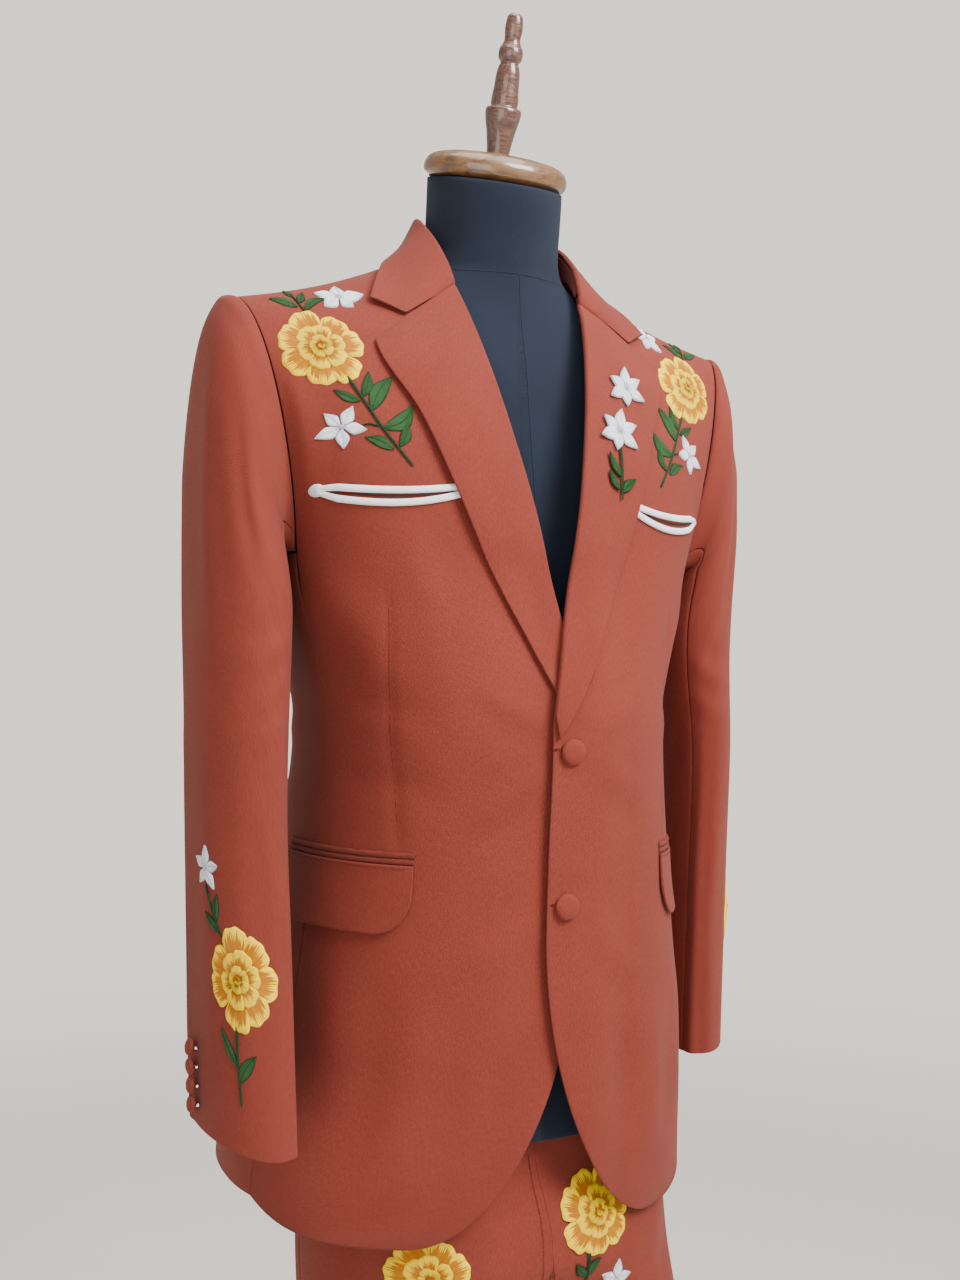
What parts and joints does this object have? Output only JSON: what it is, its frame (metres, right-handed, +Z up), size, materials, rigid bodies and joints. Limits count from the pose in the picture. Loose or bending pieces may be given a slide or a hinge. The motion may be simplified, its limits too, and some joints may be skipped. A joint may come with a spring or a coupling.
{
  "type": "western suit on a dress form",
  "caption": "Rust two-button western suit with chest smile pockets, notch lapels and trousers, worn by a limbless dress form on a post stand",
  "frame": {"origin": "centre of the underside of the stand's oval base, on the floor", "axes": "+Z up; the wearer's front faces -Y; +X is the wearer's left"},
  "size_m": [0.546, 0.4, 1.9973],
  "materials": {
    "rust_twill": "matte fine twill with a soft sheen",
    "white_piping": "matte corded cloth",
    "navy_jersey": "matte knitted cover",
    "honey_wood": "satin lacquer",
    "turned_wood": "satin lacquer",
    "stand_steel": "brushed, satin"
  },
  "bodies": {
    "root": {"base": "stand_steel", "chest_piping_left": "white_piping", "chest_piping_right": "white_piping", "collar_fall": "rust_twill", "collar_stand": "rust_twill", "cuff_button_left_1": "rust_twill", "cuff_button_left_2": "rust_twill", "cuff_button_left_3": "rust_twill", "cuff_button_left_4": "rust_twill", "cuff_button_right_1": "rust_twill", "cuff_button_right_2": "rust_twill", "cuff_button_right_3": "rust_twill", "cuff_button_right_4": "rust_twill", "finial": "turned_wood", "form_body": "navy_jersey", "front_button_1": "rust_twill", "front_button_2": "rust_twill", "hip_block": "stand_steel", "hip_flap_left": "rust_twill", "hip_flap_right": "rust_twill", "hip_jet_left": "rust_twill", "hip_jet_right": "rust_twill", "jacket_back_left": "rust_twill", "jacket_back_right": "rust_twill", "jacket_front_left": "rust_twill", "jacket_front_right": "rust_twill", "jacket_side_left": "rust_twill", "jacket_side_right": "rust_twill", "lapel_left": "rust_twill", "lapel_right": "rust_twill", "neck_cap": "honey_wood", "post_left": "stand_steel", "post_right": "stand_steel", "top_sleeve_left": "rust_twill", "top_sleeve_right": "rust_twill", "trouser_back_left": "rust_twill", "trouser_back_right": "rust_twill", "trouser_front_left": "rust_twill", "trouser_front_right": "rust_twill", "under_sleeve_left": "rust_twill", "under_sleeve_right": "rust_twill", "waistband": "rust_twill"}
  },
  "joints": []
}
